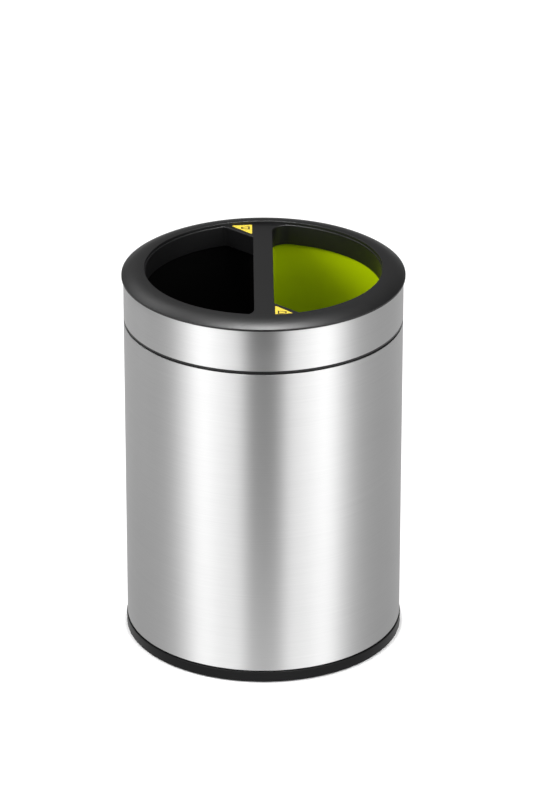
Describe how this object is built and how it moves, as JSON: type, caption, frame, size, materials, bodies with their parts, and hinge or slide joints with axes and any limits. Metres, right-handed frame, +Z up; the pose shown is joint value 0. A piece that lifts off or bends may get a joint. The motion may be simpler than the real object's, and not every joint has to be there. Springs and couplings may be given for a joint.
{
  "type": "double recycling bin",
  "caption": "Round open-top recycling bin of brushed steel: a lift-off black lid ring with a divider bar over D-shaped black and green inner buckets.",
  "frame": {"origin": "centre of the underside of the feet, on the floor", "axes": "+Z up along the axis of the bin, -Y the front, the divider bar runs along Y, the black bucket is on -X and the green one on +X"},
  "size_m": [0.2938, 0.2938, 0.4089],
  "materials": {
    "brushed_steel": "fine brushing that runs round the bin, clear lacquered",
    "black_plastic": "satin black polypropylene",
    "foot_rubber": "plain dark rubber",
    "yellow_label": "printed film, satin",
    "black_bucket": "satin black polypropylene",
    "green_bucket": "satin lime green polypropylene"
  },
  "bodies": {
    "bin_body": {"body_shell": "brushed_steel", "base_pan": "black_plastic", "foot_pads": "foot_rubber", "body_collar": "black_plastic"},
    "lid_ring": {"rim_frame": "black_plastic", "steel_band": "brushed_steel", "band_retainer": "black_plastic", "label_black_side": "yellow_label", "label_green_side": "yellow_label"},
    "black_bucket": {"bucket_black": "black_bucket"},
    "green_bucket": {"bucket_green": "green_bucket"}
  },
  "joints": [
    {"name": "lid_lift", "type": "slide", "parent": "bin_body", "child": "lid_ring", "axis": [0, 0, 1], "range_m": [0, 0.9]},
    {"name": "bucket_black_lift", "type": "slide", "parent": "bin_body", "child": "black_bucket", "axis": [0, 0, 1], "range_m": [0, 0.378]},
    {"name": "bucket_green_lift", "type": "slide", "parent": "bin_body", "child": "green_bucket", "axis": [0, 0, 1], "range_m": [0, 0.378]}
  ],
  "couplings": [
    {"joint": "bucket_black_lift", "follows": "lid_lift", "ratio": 0.42},
    {"joint": "bucket_green_lift", "follows": "lid_lift", "ratio": 0.42}
  ]
}
